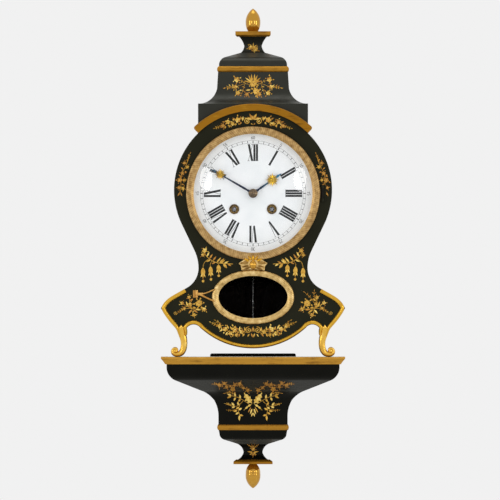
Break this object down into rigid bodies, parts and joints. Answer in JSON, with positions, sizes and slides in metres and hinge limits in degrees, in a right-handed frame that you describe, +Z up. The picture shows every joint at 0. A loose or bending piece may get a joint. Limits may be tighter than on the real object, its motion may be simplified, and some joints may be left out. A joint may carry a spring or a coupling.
{
  "type": "bracket clock",
  "caption": "Black lacquer and gilt wall clock with a round enamel dial, oval pendulum window, scroll feet and lift-off crown, standing on its own carved wall bracket.",
  "frame": {"origin": "point on the wall plane, in the middle of the bracket's back rail at the level of the shelf top", "axes": "+Z up, +Y into the wall, the dial faces -Y, +X to the viewer's right"},
  "size_m": [0.304, 0.147, 0.7937],
  "materials": {
    "black_lacquer": "polished lacquer",
    "bare_wood": "dark stained",
    "gilt": "gilded",
    "bezel_brass": "turned and lacquered",
    "movement_brass": "polished",
    "steel": "polished steel",
    "blued_steel": "blued",
    "bronze": "cast bronze",
    "blackened_brass": "blackened",
    "enamel": "white enamel",
    "glass": "clear"
  },
  "bodies": {
    "bracket": {"bracket_back_rail": "black_lacquer", "bracket_shelf": "black_lacquer", "bracket_top_moulding": "gilt", "bracket_body": "black_lacquer", "bracket_hanger_plates": "steel", "bracket_band": "gilt", "bracket_bowl": "black_lacquer", "bracket_foot_plate": "gilt", "bracket_finial": "gilt"},
    "clock": {"case_sides": "black_lacquer", "back_board": "bare_wood", "front_panel": "black_lacquer", "edge_moulding": "gilt", "eyebrow_moulding": "gilt", "scroll_feet": "gilt", "dial_hinge": "blackened_brass", "oval_hinge": "bezel_brass", "dial_plate": "movement_brass", "dial": "enamel", "winding_grommets": "bezel_brass", "movement_back_plate": "movement_brass", "movement_front_plate": "movement_brass", "movement_screws": "steel", "suspension_cock": "movement_brass", "bell": "bronze", "bell_stand": "steel"},
    "crown": {"crown_base": "black_lacquer", "crown_band": "gilt", "crown_top": "black_lacquer", "crown_cap": "gilt", "crown_finial": "gilt"},
    "dial_door": {"dial_bezel": "bezel_brass", "dial_glass": "glass", "bezel_ornament": "bezel_brass"},
    "window_door": {"oval_frame": "bezel_brass", "oval_glass": "glass", "oval_strap": "bezel_brass"},
    "minute": {"cannon_pipe": "movement_brass", "minute_hand": "blued_steel", "hand_collet": "bronze"},
    "hour": {"hour_wheel": "movement_brass", "hour_hand": "blued_steel"},
    "minute_wheel": {"minute_wheel": "movement_brass"},
    "third": {"third_wheel": "movement_brass"},
    "centre": {"centre_wheel": "movement_brass"},
    "intermediate": {"intermediate_wheel": "movement_brass"},
    "going_barrel": {"going_barrel": "movement_brass"},
    "going_arbor": {"going_arbor": "steel"},
    "escape": {"escape_wheel": "movement_brass"},
    "anchor": {"anchor": "steel", "crutch": "movement_brass"},
    "pendulum": {"suspension_spring": "steel", "pendulum_rod": "steel", "pendulum_bob": "movement_brass", "rating_nut": "movement_brass"},
    "strike_pin_wheel": {"strike_pin_wheel": "movement_brass"},
    "strike_barrel": {"strike_barrel": "movement_brass"},
    "strike_arbor": {"strike_arbor": "steel"},
    "fly": {"fly": "movement_brass"},
    "hammer": {"hammer": "steel"}
  },
  "joints": [
    {"name": "clock_lift", "type": "slide", "parent": "bracket", "child": "clock", "axis": [0, 0, 1], "range_m": [0, 0.1]},
    {"name": "crown_lift", "type": "slide", "parent": "clock", "child": "crown", "axis": [0, 0, 1], "range_m": [0, 0.08]},
    {"name": "dial_door_hinge", "type": "hinge", "parent": "clock", "child": "dial_door", "pos_m": [0.1145, -0.1344, 0.27], "axis": [0, 0, 1], "range_deg": [0, 110]},
    {"name": "window_hinge", "type": "hinge", "parent": "clock", "child": "window_door", "pos_m": [-0.093, -0.135, 0.104], "axis": [0, 0, -1], "range_deg": [0, 105]},
    {"name": "minute_hand_turn", "type": "hinge", "parent": "clock", "child": "minute", "pos_m": [0, -0.131, 0.27], "axis": [0, 1, 0], "continuous": true},
    {"name": "hour_hand_turn", "type": "hinge", "parent": "clock", "child": "hour", "pos_m": [0, -0.128, 0.27], "axis": [0, 1, 0], "continuous": true},
    {"name": "minute_wheel_turn", "type": "hinge", "parent": "clock", "child": "minute_wheel", "pos_m": [0, -0.108, 0.285], "axis": [0, 1, 0], "continuous": true},
    {"name": "third_wheel_turn", "type": "hinge", "parent": "clock", "child": "third", "pos_m": [-0.00725, -0.09, 0.28992], "axis": [0, 1, 0], "continuous": true},
    {"name": "centre_wheel_turn", "type": "hinge", "parent": "clock", "child": "centre", "pos_m": [0, -0.098, 0.27], "axis": [0, 1, 0], "continuous": true},
    {"name": "intermediate_wheel_turn", "type": "hinge", "parent": "clock", "child": "intermediate", "pos_m": [0.0202, -0.094, 0.2758], "axis": [0, 1, 0], "continuous": true},
    {"name": "going_barrel_turn", "type": "hinge", "parent": "clock", "child": "going_barrel", "pos_m": [0.031, -0.078, 0.244], "axis": [0, 1, 0], "continuous": true},
    {"name": "going_winding", "type": "hinge", "parent": "clock", "child": "going_arbor", "pos_m": [0.031, -0.078, 0.244], "axis": [0, 1, 0], "continuous": true},
    {"name": "escape_wheel_turn", "type": "hinge", "parent": "clock", "child": "escape", "pos_m": [0, -0.083, 0.30856], "axis": [0, 1, 0], "continuous": true},
    {"name": "pendulum_swing", "type": "hinge", "parent": "clock", "child": "pendulum", "pos_m": [0, -0.04, 0.3256], "axis": [0, 1, 0], "range_deg": [-4, 4]},
    {"name": "anchor_rock", "type": "hinge", "parent": "clock", "child": "anchor", "pos_m": [0, -0.08, 0.3256], "axis": [0, 1, 0], "range_deg": [-4, 4]},
    {"name": "strike_wheel_turn", "type": "hinge", "parent": "clock", "child": "strike_pin_wheel", "pos_m": [-0.0223, -0.094, 0.27645], "axis": [0, 1, 0], "continuous": true},
    {"name": "strike_barrel_turn", "type": "hinge", "parent": "clock", "child": "strike_barrel", "pos_m": [-0.031, -0.078, 0.244], "axis": [0, 1, 0], "continuous": true},
    {"name": "strike_winding", "type": "hinge", "parent": "clock", "child": "strike_arbor", "pos_m": [-0.031, -0.078, 0.244], "axis": [0, 1, 0], "continuous": true},
    {"name": "fly_turn", "type": "hinge", "parent": "clock", "child": "fly", "pos_m": [-0.0323, -0.08, 0.2938], "axis": [0, 1, 0], "continuous": true},
    {"name": "hammer_lift", "type": "hinge", "parent": "clock", "child": "hammer", "pos_m": [0.03, -0.071, 0.328], "axis": [0, 1, 0], "range_deg": [0, 12]}
  ],
  "couplings": [
    {"joint": "hour_hand_turn", "follows": "minute_hand_turn", "ratio": 0.083333},
    {"joint": "minute_wheel_turn", "follows": "minute_hand_turn", "ratio": -0.33333},
    {"joint": "centre_wheel_turn", "follows": "third_wheel_turn", "ratio": -0.10417},
    {"joint": "intermediate_wheel_turn", "follows": "third_wheel_turn", "ratio": 0.017361},
    {"joint": "going_barrel_turn", "follows": "third_wheel_turn", "ratio": -0.0028935},
    {"joint": "escape_wheel_turn", "follows": "third_wheel_turn", "ratio": -9},
    {"joint": "anchor_rock", "follows": "pendulum_swing", "ratio": 1},
    {"joint": "strike_barrel_turn", "follows": "strike_wheel_turn", "ratio": -0.16667},
    {"joint": "fly_turn", "follows": "strike_wheel_turn", "ratio": -7}
  ]
}
